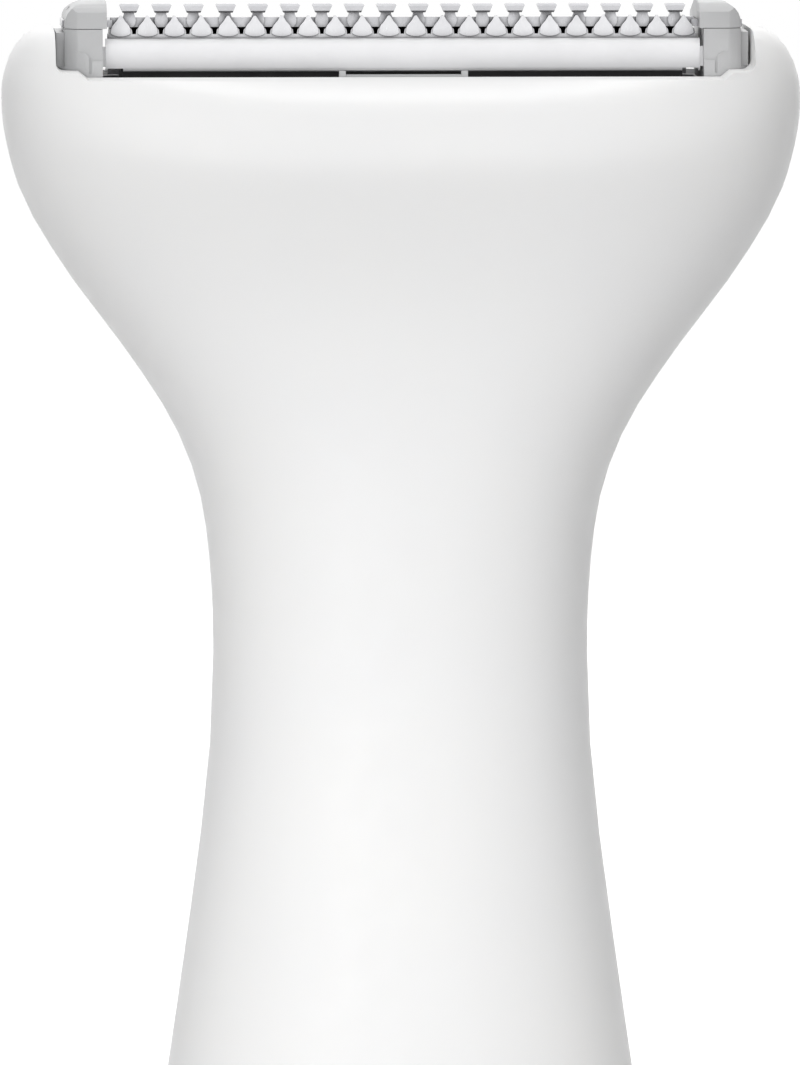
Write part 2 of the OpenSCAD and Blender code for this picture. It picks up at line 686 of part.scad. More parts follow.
// The frame screwed to the motor, with two cheeks that carry the lever's pivot
module drive_frame() {
    color([0.84, 0.84, 0.86]) difference() {
        union() {
            translate([0, 0, motor_z + seat_gap]) linear_extrude(plate_t)
                polygon(round_rect(motor_dia + 1.1, motor_flat + 0.8, 3));
            for (side = [-1, 1]) {
                y0 = side > 0 ? cheek_y[0] : -cheek_y[1];
                along_y(y0, y0 + cheek_y[1] - cheek_y[0]) polygon([[-5.4, motor_z + 1],
                    [5.4, motor_z + 1], [3.4, pivot_z], [-3.4, pivot_z]]);
                translate([0, 0, pivot_z]) rod_y(6.8, y0, y0 + cheek_y[1] - cheek_y[0]);
            }
            translate([0, 0, tab_z]) along_y(-cheek_y[0] - 0.2, -3.2)
                polygon(round_rect(2 * tab_x + 3.4, 3.6, 1.7));
        }
        translate([0, 0, motor_z - 1]) cylinder(d = 6, h = 4);
        for (x = [-motor_screw_x, motor_screw_x])
            translate([x, 0, motor_z - 1]) cylinder(d = screw_hole, h = 6);
        for (side = [-1, 1])
            along_y(side > 0 ? 3 : -8, side > 0 ? 8 : -4.9)
                polygon([[-3, motor_z + 4.5], [3, motor_z + 4.5], [2, tab_z - 3], [-2, tab_z - 3]]);
        translate([0, 0, pivot_z]) rod_y(pivot_dia + 2 * seat_gap, -10, 10);
        for (x = [-tab_x, tab_x])
            translate([x, 0, tab_z]) rod_y(screw_hole, -8, 0);
    }
}

module motor_screws() {
    color([0.7, 0.7, 0.72]) for (x = [-motor_screw_x, motor_screw_x])
        translate([x, 0, motor_z + plate_t + 2 * seat_gap]) screw(head_dia, 1, screw_dia, plate_t + 1.6);
}

module frame_screws() {
    color([0.7, 0.7, 0.72]) for (x = [-tab_x, tab_x])
        translate([x, -3.2 + seat_gap, tab_z]) rotate([-90, 0, 0]) screw(3, 1.1, screw_dia, 3);
}

module pivot_pin() {
    color([0.8, 0.8, 0.82]) translate([0, 0, pivot_z])
        rod_y(pivot_dia, -cheek_y[1] - 0.1, cheek_y[1] + 0.1);
}

// The rocking lever: a fork round the crank pin, a hub on the pivot and a round tip above
module drive_lever() {
    slot = throw + crank_dia / 2 + throw + 0.16;
    slot_top = fork_z + 4.2;
    prong = slot + 1.8;
    color([0.93, 0.93, 0.9]) difference() {
        union() {
            along_y(-1.4, 1.4) polygon([[-prong, fork_z], [prong, fork_z], [prong, slot_top + 0.6],
                [1.9, pivot_z - 4], [1.9, pivot_z + 4], [1.15, pivot_z + 12], [0.85, tip_z],
                [-0.85, tip_z], [-1.15, pivot_z + 12], [-1.9, pivot_z + 4], [-1.9, pivot_z - 4],
                [-prong, slot_top + 0.6]]);
            translate([0, 0, pivot_z]) rod_y(5, -cheek_y[0] + 0.4, cheek_y[0] - 0.4);
            translate([0, 0, tip_z]) rod_y(lever_tip_dia, -1.8, 1.8);
        }
        translate([-slot, -3, fork_z - 1]) cube([2 * slot, 6, slot_top - fork_z + 1]);
        translate([0, 0, pivot_z]) rod_y(pivot_dia + 2 * run_gap, -10, 10);
    }
}

// ---- cutter ----

module frame_shape(spare = 0) {
    polygon(round_rect(frame_w - 2 * spare, frame_d - 2 * spare, pocket_r - fit_gap));
}

// Silver-grey frame: a floor, two low walls and a block at each end
module cutter_frame() {
    floor_z = ledge_z + 0.03;
    wall_y = frame_d / 2 - 0.2;
    color([0.74, 0.75, 0.76]) difference() {
        union() {
            translate([0, 0, floor_z]) linear_extrude(rim_z - 0.3 - floor_z) frame_shape();
            intersection() {
                translate([0, 0, floor_z]) linear_extrude(total_h) frame_shape();
                mirrored_x() along_y(-pocket_d, pocket_d) polygon([
                    [block_in, floor_z], [frame_w / 2, floor_z], [frame_w / 2, rim_z + 0.6],
                    [block_out, rim_z + 0.6], [block_out, seam_z - 0.04], [block_in, seam_z - 0.04]]);
            }
            // outer flange of each end block
            mirrored_x() block([block_out - 0.1, -3.6, rim_z + 0.4], [frame_w / 2, 3.6, seam_z - 0.3]);
            // tongue at the middle of the front
            block([-4, -wall_y, rim_z - 1], [4, -wall_y + 0.8, rim_z + 0.12]);
            for (x = [-4, 3.6])
                block([x, -wall_y - 0.15, rim_z - 0.2], [x + 0.4, -wall_y + 0.5, rim_z + 0.36]);
        }
        // hollow for the blade carrier
        block([-block_in + 0.15, -wall_y + 1, ledge_z + 1.7], [block_in - 0.15, wall_y - 1, total_h]);
        block([-block_in + 0.15, -wall_y, rim_z - 1.6], [-4.6, -wall_y + 1.2, total_h]);
        block([4.6, -wall_y, rim_z - 1.6], [block_in - 0.15, -wall_y + 1.2, total_h]);
        block([-4.8, -2.7, sump_z], [4.8, 2.7, total_h]);
        for (x = [-spring_x, spring_x])
            translate([x, 0, ledge_z + 1.3]) cylinder(d = 3, h = 5);
        mirrored_x() {
            // upper face set back above the foot, and the groove between the foot and the inner panel
            along_y(-pocket_d, block_face_y) polygon([[block_in - 1, rim_z + 1.05],
                [block_in + 0.7, rim_z + 1], [block_in + 0.85, rim_z + 1.3],
                [block_in + 1.1, rim_z + 1.5], [block_in + 1.5, rim_z + 1.6],
                [frame_w / 2 - 0.5, rim_z + 1.6], [frame_w / 2 + 1, rim_z + 1.9],
                [frame_w / 2 + 1, total_h], [block_in - 1, total_h]]);
            block([block_in + 0.68, -pocket_d, rim_z + 0.2],
                [block_in + 0.84, block_face_y - 0.08, rim_z + 1.2]);
            // the end of the bar and the room the outer teeth need
            block([block_in - 1, bar_y - 0.02, bar_z - 0.05],
                [block_in + 0.62, blade_y - 0.2, bar_z + bar_h + 0.1]);
            block([block_in - 1, blade_y - 0.22, leaf_z - 0.1],
                [teeth_half_w + stroke + 0.15, comb_y - 0.01, total_h]);
            translate([land_x, 0, ledge_z - 1]) cylinder(d = screw_hole, h = total_h);
            translate([land_x, 0, ledge_z - 1]) cylinder(d = head_dia + 0.3, h = 2.6);
        }
    }
}

module end_caps() {
    r = 1.35;
    inner = block_in - 0.26;
    color([0.79, 0.8, 0.81]) mirrored_x() difference() {
        intersection() {
            along_y(block_face_y, frame_d / 2) polygon(concat(
                [[inner, seam_z], [block_out, seam_z]],
                [for (i = [0 : 6]) [block_out - r * (1 - cos(15 * i)), total_h - r * (1 - sin(15 * i))]],
                [[inner, total_h]]));
            along_x(pocket_w) polygon([[-frame_d / 2, seam_z], [frame_d / 2, seam_z],
                [frame_d / 2, total_h - 1.1], [frame_d / 2 - 0.3, total_h - 0.9], [0.8, total_h],
                [-2, total_h], [block_face_y + 0.9, total_h - 0.1], [block_face_y + 0.3, total_h - 0.3],
                [block_face_y, total_h - 0.6], [-frame_d / 2, total_h - 0.6]]);
            translate([0, 0, seam_z - 1]) linear_extrude(4) frame_shape();
        }
        // over the comb's land, and clear of the outer teeth
        block([block_in - 1, comb_y - 0.03, seam_z - 1], [land_x + 1.26, 1.66, seam_z + sheet_t + 0.04]);
        block([block_in - 1, blade_y - 0.2, seam_z - 1],
            [teeth_half_w + stroke + 0.15, comb_y - 0.02, seam_z + 1]);
        translate([land_x, 0, seam_z - 1]) cylinder(d = screw_hole, h = 2.2);
    }
}

module end_cap_screws() {
    color([0.7, 0.7, 0.72]) mirrored_x() translate([land_x, 0, ledge_z + 1.6 - seat_gap]) mirror([0, 0, 1])
        screw(head_dia, 0.9, screw_dia, seam_z + 1 - ledge_z - 1.6);
}

// Sheet steel comb: fingers with blunt heads that lean over the blade, and a roof folded to the rear
module guard_comb() {
    half = block_in - 0.55;
    back_y = frame_d / 2 - 1;
    web_y = comb_y + 0.16;
    web_h = 0.6;
    z = seam_z + 0.02;
    head_z0 = total_h - 0.12 - tip_h;
    lean = 0.85;
    // half widths of a finger from its root up to its head
    finger = [[neck_w / 2 - 0.1, 0], [neck_w / 2 + 0.03, 0.2], [neck_w / 2 + 0.07, 0.42],
        [neck_w / 2 + 0.04, 0.62], [neck_w / 2 - 0.03, 0.8]];
    color([0.86, 0.86, 0.87]) difference() {
        union() {
            along_x(2 * half) polygon([[web_y, z], [web_y + 0.5, z], [back_y, z - 1.15],
                [back_y, rim_z - 0.24], [back_y + sheet_t, rim_z - 0.24],
                [back_y + sheet_t, z - 0.9], [back_y - 0.1, z - 0.68], [web_y + 0.6, z + web_h],
                [web_y, z + web_h]]);
            mirrored_x()
                block([half - 0.1, comb_y, z], [land_x + 1.2, 1.6, z + sheet_t]);
            for (i = [0 : comb_count - 1]) {
                x = (i - (comb_count - 1) / 2) * comb_pitch;
                along_y(comb_y, comb_y + sheet_t) polygon(concat(
                    [for (p = finger) [x + p[0], z + p[1]]], [[x + neck_w / 2 - 0.03, head_z0 + 0.2]],
                    [[x - neck_w / 2 + 0.03, head_z0 + 0.2]],
                    [for (k = [len(finger) - 1 : -1 : 0]) [x - finger[k][0], z + finger[k][1]]]));
                // blunt head: a tapered cup that leans over the blade
                intersection() {
                    along_y(comb_y - lean, comb_y + sheet_t + 0.2) polygon([
                        [x - tip_w / 2 + 0.2, head_z0], [x + tip_w / 2 - 0.2, head_z0],
                        [x + tip_w / 2, total_h - 0.2], [x + tip_w / 2 - 0.08, total_h - 0.12],
                        [x - tip_w / 2 + 0.08, total_h - 0.12], [x - tip_w / 2, total_h - 0.2]]);
                    along_x(head_w) polygon([[comb_y - lean, head_z0 + 0.12], [comb_y - lean + 0.12, head_z0],
                        [comb_y + 1, head_z0], [comb_y + 1, total_h - 0.3], [comb_y + 0.3, total_h - 0.12],
                        [comb_y - lean + 0.15, total_h - 0.12], [comb_y - lean, total_h - 0.25]]);
                }
            }
        }
        mirrored_x() translate([land_x, 0, seam_z - 1]) cylinder(d = screw_hole, h = 4);
    }
}

// Satin strip in front of the blade, with a rounded top edge and a tenon at each end
module front_bar() {
    top = bar_z + bar_h;
    color([0.93, 0.93, 0.94]) {
        difference() {
            along_x(2 * bar_half_w) polygon([[bar_y, bar_z + 0.22], [bar_y + 0.06, bar_z + 0.07],
                [bar_y + 0.2, bar_z], [bar_y + 0.6, bar_z], [bar_y + 0.6, top], [bar_y + 0.42, top],
                [bar_y + 0.22, top - 0.06], [bar_y + 0.08, top - 0.2], [bar_y, top - 0.42]]);
            mirrored_x() block([bar_half_w - 1.1, -pocket_d, bar_z - 1], [bar_half_w - 0.1, 0, bar_z + 0.2]);
        }
        mirrored_x() block([bar_half_w - 1, bar_y + 0.1, bar_z + 0.3],
            [block_in + 0.58, bar_y + 0.6, top - 0.5]);
    }
}

module carrier_springs() {
    color([0.8, 0.78, 0.7]) for (x = [-spring_x, spring_x])
        translate([x, 0, ledge_z + 1.34]) coil(0.34, 1.1, 1.1, carrier_z - ledge_z - 1.42, 4, 14, 5);
}

module blade_carrier() {
    color([0.08, 0.08, 0.09]) difference() {
        union() {
            block([-carrier_half_w, -2.6, carrier_z], [carrier_half_w, 2.6, leaf_z - seat_gap]);
            block([-3.2, -2, tip_z - 1.4], [3.2, 2, carrier_z + 0.5]);
            for (i = [-3 : 3])
                translate([i * pin_pitch, pin_y, leaf_z - 0.5]) cylinder(d = 1, h = 0.9);
        }
        block([-lever_tip_dia / 2 - run_gap, -3, tip_z - 2],
            [lever_tip_dia / 2 + run_gap, 3, tip_z + 1.5]);
    }
}

// Right edge of a blade tooth, from its root to its point, as offsets from its middle and the seam
tooth_edge = [[0.42 * tooth_pitch, -0.6], [0.432 * tooth_pitch, -0.32], [0.41 * tooth_pitch, -0.12],
    [0.34 * tooth_pitch, 0], [0.3 * tooth_pitch, 0.14], [0.16 * tooth_pitch, 0.41],
    [0.084 * tooth_pitch, 0.62], [0.036 * tooth_pitch, 0.74]];

// One tooth drawn as [x, z] about x, from its lower edge up
module tooth_shape(x, lower, from) {
    upper = [for (i = [from : len(tooth_edge) - 1]) tooth_edge[i]];
    polygon([for (p = concat(lower, upper, [for (i = [len(upper) - 1 : -1 : 0]) [-upper[i][0], upper[i][1]]]))
        [x + p[0], seam_z + p[1]]]);
}

// Folded steel blade: a flat leaf on the carrier and an upright edge cut into ground teeth
module moving_blade() {
    root_z = leaf_z + 0.8;
    grind = 0.08;
    color([0.78, 0.78, 0.79]) difference() {
        union() {
            along_x(2 * carrier_half_w) polygon([[blade_y, leaf_z + 0.2], [blade_y + 0.2, leaf_z],
                [1.6, leaf_z], [1.6, leaf_z + blade_t], [blade_y + blade_t, leaf_z + blade_t],
                [blade_y + blade_t, root_z + 0.2], [blade_y, root_z + 0.2]]);
            block([-teeth_half_w, blade_y, leaf_z + blade_t], [teeth_half_w, blade_y + blade_t, root_z + 0.2]);
            for (i = [0 : tooth_count - 1]) {
                x = (i - (tooth_count - 1) / 2) * tooth_pitch;
                along_y(blade_y, blade_y + blade_t) tooth_shape(x, [], 0);
                // the ground face, proud of the steel, with a round lower edge
                along_y(blade_y - grind, blade_y + blade_t / 2) tooth_shape(x,
                    [for (a = [200 : 20 : 340]) [0.4 * tooth_pitch * cos(a), -0.24 + 0.3 * sin(a)]], 3);
            }
        }
        for (i = [-3 : 3])
            translate([i * pin_pitch, pin_y, leaf_z - 1]) cylinder(d = 1.04, h = 3);
    }
}

front_shell();
rear_shell();
cutter_well();
battery_cap();
cap_o_ring();
negative_plate();
negative_spring();
battery();
battery_tube();
positive_contact();
return_strip();
circuit_board();
board_components();
slide_switch();
switch_knob();
switch_button();
motor_can();
motor_end_bell();
motor_terminals();
motor_bearing();
motor_shaft();
eccentric();
drive_frame();
motor_screws();
frame_screws();
drive_lever();
pivot_pin();
drive_seal();
well_screws();
cutter_frame();
end_caps();
end_cap_screws();
guard_comb();
front_bar();
carrier_springs();
blade_carrier();
moving_blade();
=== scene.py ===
"""Looks of a cordless comb trimmer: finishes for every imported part, soft studio light and the camera."""
import json
import math

import bpy
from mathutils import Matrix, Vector


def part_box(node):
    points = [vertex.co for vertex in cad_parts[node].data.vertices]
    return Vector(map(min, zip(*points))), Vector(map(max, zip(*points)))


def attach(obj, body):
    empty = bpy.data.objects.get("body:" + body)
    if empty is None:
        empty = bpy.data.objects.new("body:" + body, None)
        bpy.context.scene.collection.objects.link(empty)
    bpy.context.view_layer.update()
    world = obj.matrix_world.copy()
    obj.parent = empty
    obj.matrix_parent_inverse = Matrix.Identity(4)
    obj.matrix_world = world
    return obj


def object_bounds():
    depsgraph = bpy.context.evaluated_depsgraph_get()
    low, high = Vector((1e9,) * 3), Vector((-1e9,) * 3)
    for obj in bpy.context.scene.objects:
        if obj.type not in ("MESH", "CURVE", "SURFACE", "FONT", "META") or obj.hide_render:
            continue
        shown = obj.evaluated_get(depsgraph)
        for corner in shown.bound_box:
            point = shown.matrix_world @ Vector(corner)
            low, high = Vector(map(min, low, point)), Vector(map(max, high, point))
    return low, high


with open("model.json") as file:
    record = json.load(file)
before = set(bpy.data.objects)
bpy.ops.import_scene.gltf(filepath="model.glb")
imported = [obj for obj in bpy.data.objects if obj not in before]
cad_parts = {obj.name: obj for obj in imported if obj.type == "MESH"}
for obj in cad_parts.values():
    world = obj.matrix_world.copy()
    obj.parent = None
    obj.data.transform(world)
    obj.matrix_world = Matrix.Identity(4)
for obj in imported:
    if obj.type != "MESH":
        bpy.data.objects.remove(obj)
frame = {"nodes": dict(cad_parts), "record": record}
cad_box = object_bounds()
nodes = frame["nodes"]
scene = bpy.context.scene
low, high = (Vector(corner) for corner in cad_box)

MM = 0.001


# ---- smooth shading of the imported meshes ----

WELD_DISTANCE = 0.002 * MM
CREASE_DEG = 30
LOFTED_CREASE_DEG = 38
LOFTED_PARTS = ("front_shell", "rear_shell", "battery_cap")


def smoothing_group():
    """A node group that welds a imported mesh's split corners and shades it smooth up to a crease angle."""
    group = bpy.data.node_groups.new("weld_and_smooth", "GeometryNodeTree")
    group.interface.new_socket("Geometry", in_out="INPUT", socket_type="NodeSocketGeometry")
    angle = group.interface.new_socket("Crease angle", in_out="INPUT", socket_type="NodeSocketFloat")
    angle.default_value = math.radians(CREASE_DEG)
    group.interface.new_socket("Geometry", in_out="OUTPUT", socket_type="NodeSocketGeometry")
    add, link = group.nodes.new, group.links.new
    start = add("NodeGroupInput")
    end = add("NodeGroupOutput")
    plain = add("GeometryNodeRemoveAttribute")
    plain.inputs["Name"].default_value = "custom_normal"
    weld = add("GeometryNodeMergeByDistance")
    weld.inputs["Distance"].default_value = WELD_DISTANCE
    faces = add("GeometryNodeSetShadeSmooth")
    faces.domain = "FACE"
    edges = add("GeometryNodeSetShadeSmooth")
    edges.domain = "EDGE"
    bend = add("GeometryNodeInputMeshEdgeAngle")
    soft = add("FunctionNodeCompare")
    soft.data_type = "FLOAT"
    soft.operation = "LESS_THAN"
    chain = (start, plain, weld, faces, edges, end)
    for source, target in zip(chain, chain[1:]):
        link(source.outputs["Geometry"], target.inputs["Geometry"])
    link(bend.outputs["Unsigned Angle"], soft.inputs[0])
    link(start.outputs["Crease angle"], soft.inputs[1])
    link(soft.outputs["Result"], edges.inputs["Shade Smooth"])
    return group, angle.identifier


SMOOTHING, CREASE_SOCKET = smoothing_group()


def smooth(name):
    """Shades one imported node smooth, keeping the edges that bend more than its crease angle."""
    modifier = nodes[name].modifiers.new("smooth", "NODES")
    modifier.node_group = SMOOTHING
    modifier[CREASE_SOCKET] = math.radians(LOFTED_CREASE_DEG if name in LOFTED_PARTS else CREASE_DEG)


# ---- finishes ----

class Tree:
    """The emptied node tree of a material or a world, with short calls that add and link nodes."""

    def __init__(self, owner):
        owner.use_nodes = True
        self.tree = owner.node_tree
        self.tree.nodes.clear()

    def add(self, kind):
        return self.tree.nodes.new(kind)

    def link(self, source, target):
        self.tree.links.new(source, target)


class Finish(Tree):
    """One procedural material: a shader fed by noise in the object's own metres."""

    def __init__(self, name):
        self.material = bpy.data.materials.new(name)
        super().__init__(self.material)
        output = self.add("ShaderNodeOutputMaterial")
        self.shader = self.add("ShaderNodeBsdfPrincipled")
        self.link(self.shader.outputs["BSDF"], output.inputs["Surface"])
        self.place = self.add("ShaderNodeTexCoord").outputs["Object"]
        self.normal = None

    def set(self, **values):
        """Sets the shader's own sockets; an underscore in a name stands for a space."""
        for name, value in values.items():
            self.shader.inputs[name.replace("_", " ")].default_value = value

    def stretched(self, scale):
        """The object's coordinates scaled along each axis, for a grain with a direction."""
        mapping = self.add("ShaderNodeMapping")
        mapping.inputs["Scale"].default_value = scale
        self.link(self.place, mapping.inputs["Vector"])
        return mapping.outputs["Vector"]

    def noise(self, grain_mm, detail, stretch=(1, 1, 1)):
        """Noise whose grains are about grain_mm across, drawn out along an axis by a stretch under 1."""
        texture = self.add("ShaderNodeTexNoise")
        texture.inputs["Scale"].default_value = 1 / (grain_mm * MM)
        texture.inputs["Detail"].default_value = detail
        self.link(self.stretched(stretch), texture.inputs["Vector"])
        return texture.outputs["Fac"]

    def spread(self, value, least, most, source=(0.3, 0.7)):
        """Maps the source range of a value, by default what noise mostly gives, onto least to most."""
        span = self.add("ShaderNodeMapRange")
        span.inputs["From Min"].default_value = source[0]
        span.inputs["From Max"].default_value = source[1]
        span.inputs["To Min"].default_value = least
        span.inputs["To Max"].default_value = most
        self.link(value, span.inputs["Value"])
        return span.outputs["Result"]

    def mix(self, colour, factor):
        """A colour mix that starts at the given colour; the caller fills its second one."""
        mix = self.add("ShaderNodeMix")
        mix.data_type = "RGBA"
        mix.inputs["A"].default_value = (*colour, 1)
        self.link(factor, mix.inputs["Factor"])
        return mix

    def colour(self, base, tint, value):
        """Base colour that drifts to a tint where the noise value is high."""
        mix = self.mix(base, self.spread(value, 0, 1))
        mix.inputs["B"].default_value = (*tint, 1)
        self.link(mix.outputs["Result"], self.shader.inputs["Base Color"])

    def painted_crevice_shade(self, dark, reach_mm):
        """Painted shade: darkens the base colour where other surfaces lie within reach, standing for the
        shade in crevices.
        """
        shade = self.add("ShaderNodeAmbientOcclusion")
        shade.samples = 12
        shade.inputs["Distance"].default_value = reach_mm * MM
        base = self.shader.inputs["Base Color"]
        mix = self.mix(dark, self.spread(shade.outputs["AO"], 0, 1, source=(0.25, 0.85)))
        self.link(base.links[0].from_socket, mix.inputs["B"])
        self.link(mix.outputs["Result"], base)

    def roughness(self, least, most, value):
        """Roughness that follows a noise value."""
        self.link(self.spread(value, least, most), self.shader.inputs["Roughness"])

    def bump(self, value, height_mm, strength):
        """Adds one layer of relief; layers stack."""
        bump = self.add("ShaderNodeBump")
        bump.inputs["Strength"].default_value = strength
        bump.inputs["Distance"].default_value = height_mm * MM
        self.link(value, bump.inputs["Height"])
        if self.normal is not None:
            self.link(self.normal, bump.inputs["Normal"])
        self.normal = bump.outputs["Normal"]
        self.link(self.normal, self.shader.inputs["Normal"])


def moulded(name, base, tint, rough, grain_mm=0.12, relief_mm=0.004, subsurface=0.0):
    """Moulded plastic: a spark-eroded grain, a faint drift of colour and an uneven sheen."""
    finish = Finish(name)
    grain = finish.noise(grain_mm, detail=3)
    finish.colour(base, tint, finish.noise(14, detail=3))
    finish.roughness(rough - 0.05, rough + 0.06, finish.noise(1.6, detail=4))
    finish.bump(grain, relief_mm, strength=0.6)
    finish.bump(finish.noise(6, detail=2), height_mm=0.01, strength=0.2)
    finish.set(IOR=1.46)
    if subsurface:
        finish.set(Subsurface_Weight=subsurface, Subsurface_Radius=(1.0, 0.9, 0.8), Subsurface_Scale=0.6 * MM)
    return finish.material


def metal(name, base, tint, rough, along=(1, 1, 1), grain_mm=0.05, relief_mm=0.002, painted_shade=None, bare=1.0):
    """Metal, bare or under a satin coat: fine lines drawn out along one axis, slightly duller patches, and
    painted shade in crevices where a shade is given.
    """
    finish = Finish(name)
    lines = finish.noise(grain_mm, detail=3, stretch=along)
    patches = finish.noise(2.2, detail=4)
    finish.colour(base, tint, patches)
    finish.roughness(rough - 0.06, rough + 0.1, lines)
    finish.bump(lines, relief_mm, strength=0.5)
    finish.bump(patches, relief_mm * 2, strength=0.15)
    finish.set(Metallic=bare)
    # painted shade: the colour darkens near other surfaces
    if painted_shade:
        finish.painted_crevice_shade(*painted_shade)
    return finish.material


def plated(name, base, rough, coat):
    """Printed sleeve and lacquered board: a smooth coat over a slightly mottled ground."""
    finish = Finish(name)
    lighter = tuple(min(1, part * 1.25 + 0.01) for part in base)
    finish.colour(base, lighter, finish.noise(0.9, detail=4))
    finish.roughness(rough - 0.04, rough + 0.05, finish.noise(0.4, detail=3))
    finish.bump(finish.noise(0.15, detail=2), height_mm=0.002, strength=0.3)
    finish.set(Coat_Weight=coat, Coat_Roughness=0.12)
    return finish.material


def soft_rubber(name, base, tint):
    """Rubber with a powdery bloom."""
    finish = Finish(name)
    bloom = finish.noise(1.1, detail=5)
    finish.colour(base, tint, bloom)
    finish.roughness(0.6, 0.82, bloom)
    finish.bump(finish.noise(0.09, detail=3), height_mm=0.006, strength=0.5)
    finish.set(IOR=1.5)
    return finish.material


# painted shade: the colour that the narrow gaps between the teeth darken to; each steel gives the painted
# shade's reach in mm
PAINTED_GAP_SHADE = (0.03, 0.03, 0.032)

FINISHES = {
    "white_plastic": moulded("white_plastic", (0.86, 0.86, 0.862), (0.875, 0.873, 0.868), 0.46,
                             grain_mm=0.11, relief_mm=0.003, subsurface=0.05),
    "grey_plastic": moulded("grey_plastic", (0.34, 0.35, 0.36), (0.37, 0.375, 0.38), 0.5),
    "inner_plastic": moulded("inner_plastic", (0.63, 0.63, 0.60), (0.68, 0.67, 0.63), 0.4,
                             grain_mm=0.2, relief_mm=0.003, subsurface=0.1),
    "silver_plastic": moulded("silver_plastic", (0.48, 0.485, 0.49), (0.52, 0.52, 0.525), 0.42,
                              grain_mm=0.06, relief_mm=0.002),
    "button_plastic": moulded("button_plastic", (0.66, 0.66, 0.67), (0.70, 0.70, 0.70), 0.38,
                              grain_mm=0.09, relief_mm=0.003),
    "black_plastic": moulded("black_plastic", (0.012, 0.012, 0.014), (0.02, 0.02, 0.021), 0.5,
                             grain_mm=0.08),
    "black_rubber": soft_rubber("black_rubber", (0.02, 0.02, 0.02), (0.045, 0.045, 0.044)),
    "silicone_ring": soft_rubber("silicone_ring", (0.42, 0.09, 0.04), (0.5, 0.13, 0.07)),
    "contact_metal": metal("contact_metal", (0.62, 0.59, 0.50), (0.55, 0.52, 0.45), 0.3,
                           along=(1, 1, 0.08)),
    "brass": metal("brass", (0.72, 0.52, 0.22), (0.62, 0.44, 0.19), 0.3,
                   along=(1, 1, 0.1)),
    "battery_sleeve": plated("battery_sleeve", (0.03, 0.045, 0.07), 0.28, coat=0.6),
    "board_green": plated("board_green", (0.01, 0.09, 0.035), 0.35, coat=0.4),
    "component_black": moulded("component_black", (0.015, 0.015, 0.016), (0.025, 0.025, 0.025), 0.42,
                               grain_mm=0.05, relief_mm=0.003),
    "motor_steel": metal("motor_steel", (0.55, 0.55, 0.56), (0.48, 0.48, 0.5), 0.34,
                         along=(1, 1, 0.05), grain_mm=0.08),
    "polished_steel": metal("polished_steel", (0.70, 0.70, 0.72), (0.64, 0.64, 0.66), 0.16,
                            along=(1, 1, 0.2), grain_mm=0.04, relief_mm=0.001),
    # blade steel with painted shade in the gaps between its teeth
    "blade_steel": metal("blade_steel", (0.43, 0.43, 0.44), (0.39, 0.39, 0.40), 0.33,
                         along=(1, 1, 0.1), grain_mm=0.02, relief_mm=0.0004, painted_shade=(PAINTED_GAP_SHADE, 1.4)),
    "satin_bar": metal("satin_bar", (0.68, 0.68, 0.69), (0.65, 0.65, 0.66), 0.5,
                       along=(0.1, 1, 1), grain_mm=0.03, relief_mm=0.0008, bare=0.35),
}

# the fixed comb gets a darker copy of the blade's steel as painted shade for its place behind the blade in
# front of it, and painted shade in its crevices
OWN_FINISHES = {
    "guard_comb": metal("comb_steel_painted_darker", (0.32, 0.32, 0.33), (0.28, 0.28, 0.29), 0.3,
                        along=(1, 1, 0.1), grain_mm=0.02, relief_mm=0.0004, painted_shade=(PAINTED_GAP_SHADE, 0.5)),
}


def dress():
    """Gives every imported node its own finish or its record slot's, and smooth shading."""
    for part in frame["record"]["subparts"]:
        name = part["node"]
        materials = nodes[name].data.materials
        materials.clear()
        materials.append(OWN_FINISHES.get(name, FINISHES[part["material_slot"]]))
        smooth(name)


dress()


# ---- tongues behind the seam, where nothing else stands between the shells ----

SEAM_REACH = 0.1 * MM
TONGUE_THICK = 0.5 * MM
TONGUE_HALF_DEPTH = 0.8 * MM
TONGUE_CORNER = 0.15 * MM
TONGUE_CLEAR = 0.04 * MM
TONGUE_OVERLAP = 0.5 * MM
TONGUE_STEPS = 8


def inner_wall(height):
    """Half the width of the hollow at the seam, read off the front shell's edges that cross the height."""
    shell = nodes["front_shell"].data
    crossings = []
    for edge in shell.edges:
        start, end = (shell.vertices[index].co for index in edge.vertices)
        on_seam = max(abs(start.y), abs(end.y)) < SEAM_REACH
        if on_seam and (start.z - height) * (end.z - height) < 0:
            part = (height - start.z) / (end.z - start.z)
            crossings.append(abs(start.x + part * (end.x - start.x)))
    return min(crossings)


def tongue_line():
    """Heights from the cell's contact up to the motor, each with the hollow's half width there."""
    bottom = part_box("positive_contact")[1][2] - TONGUE_OVERLAP
    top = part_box("motor_end_bell")[0][2] + TONGUE_OVERLAP
    heights = [bottom + (top - bottom) * step / TONGUE_STEPS for step in range(TONGUE_STEPS + 1)]
    return [(height, inner_wall(height)) for height in heights]


def tongue_section():
    """The tongue's cut as offsets inward from the wall and across the seam, with its corners taken off."""
    thick, half, corner = TONGUE_THICK, TONGUE_HALF_DEPTH, TONGUE_CORNER
    front = [(0, half - corner), (corner, half), (thick - corner, half), (thick, half - corner)]
    back = [(inward, -across) for inward, across in reversed(front)]
    return front + back


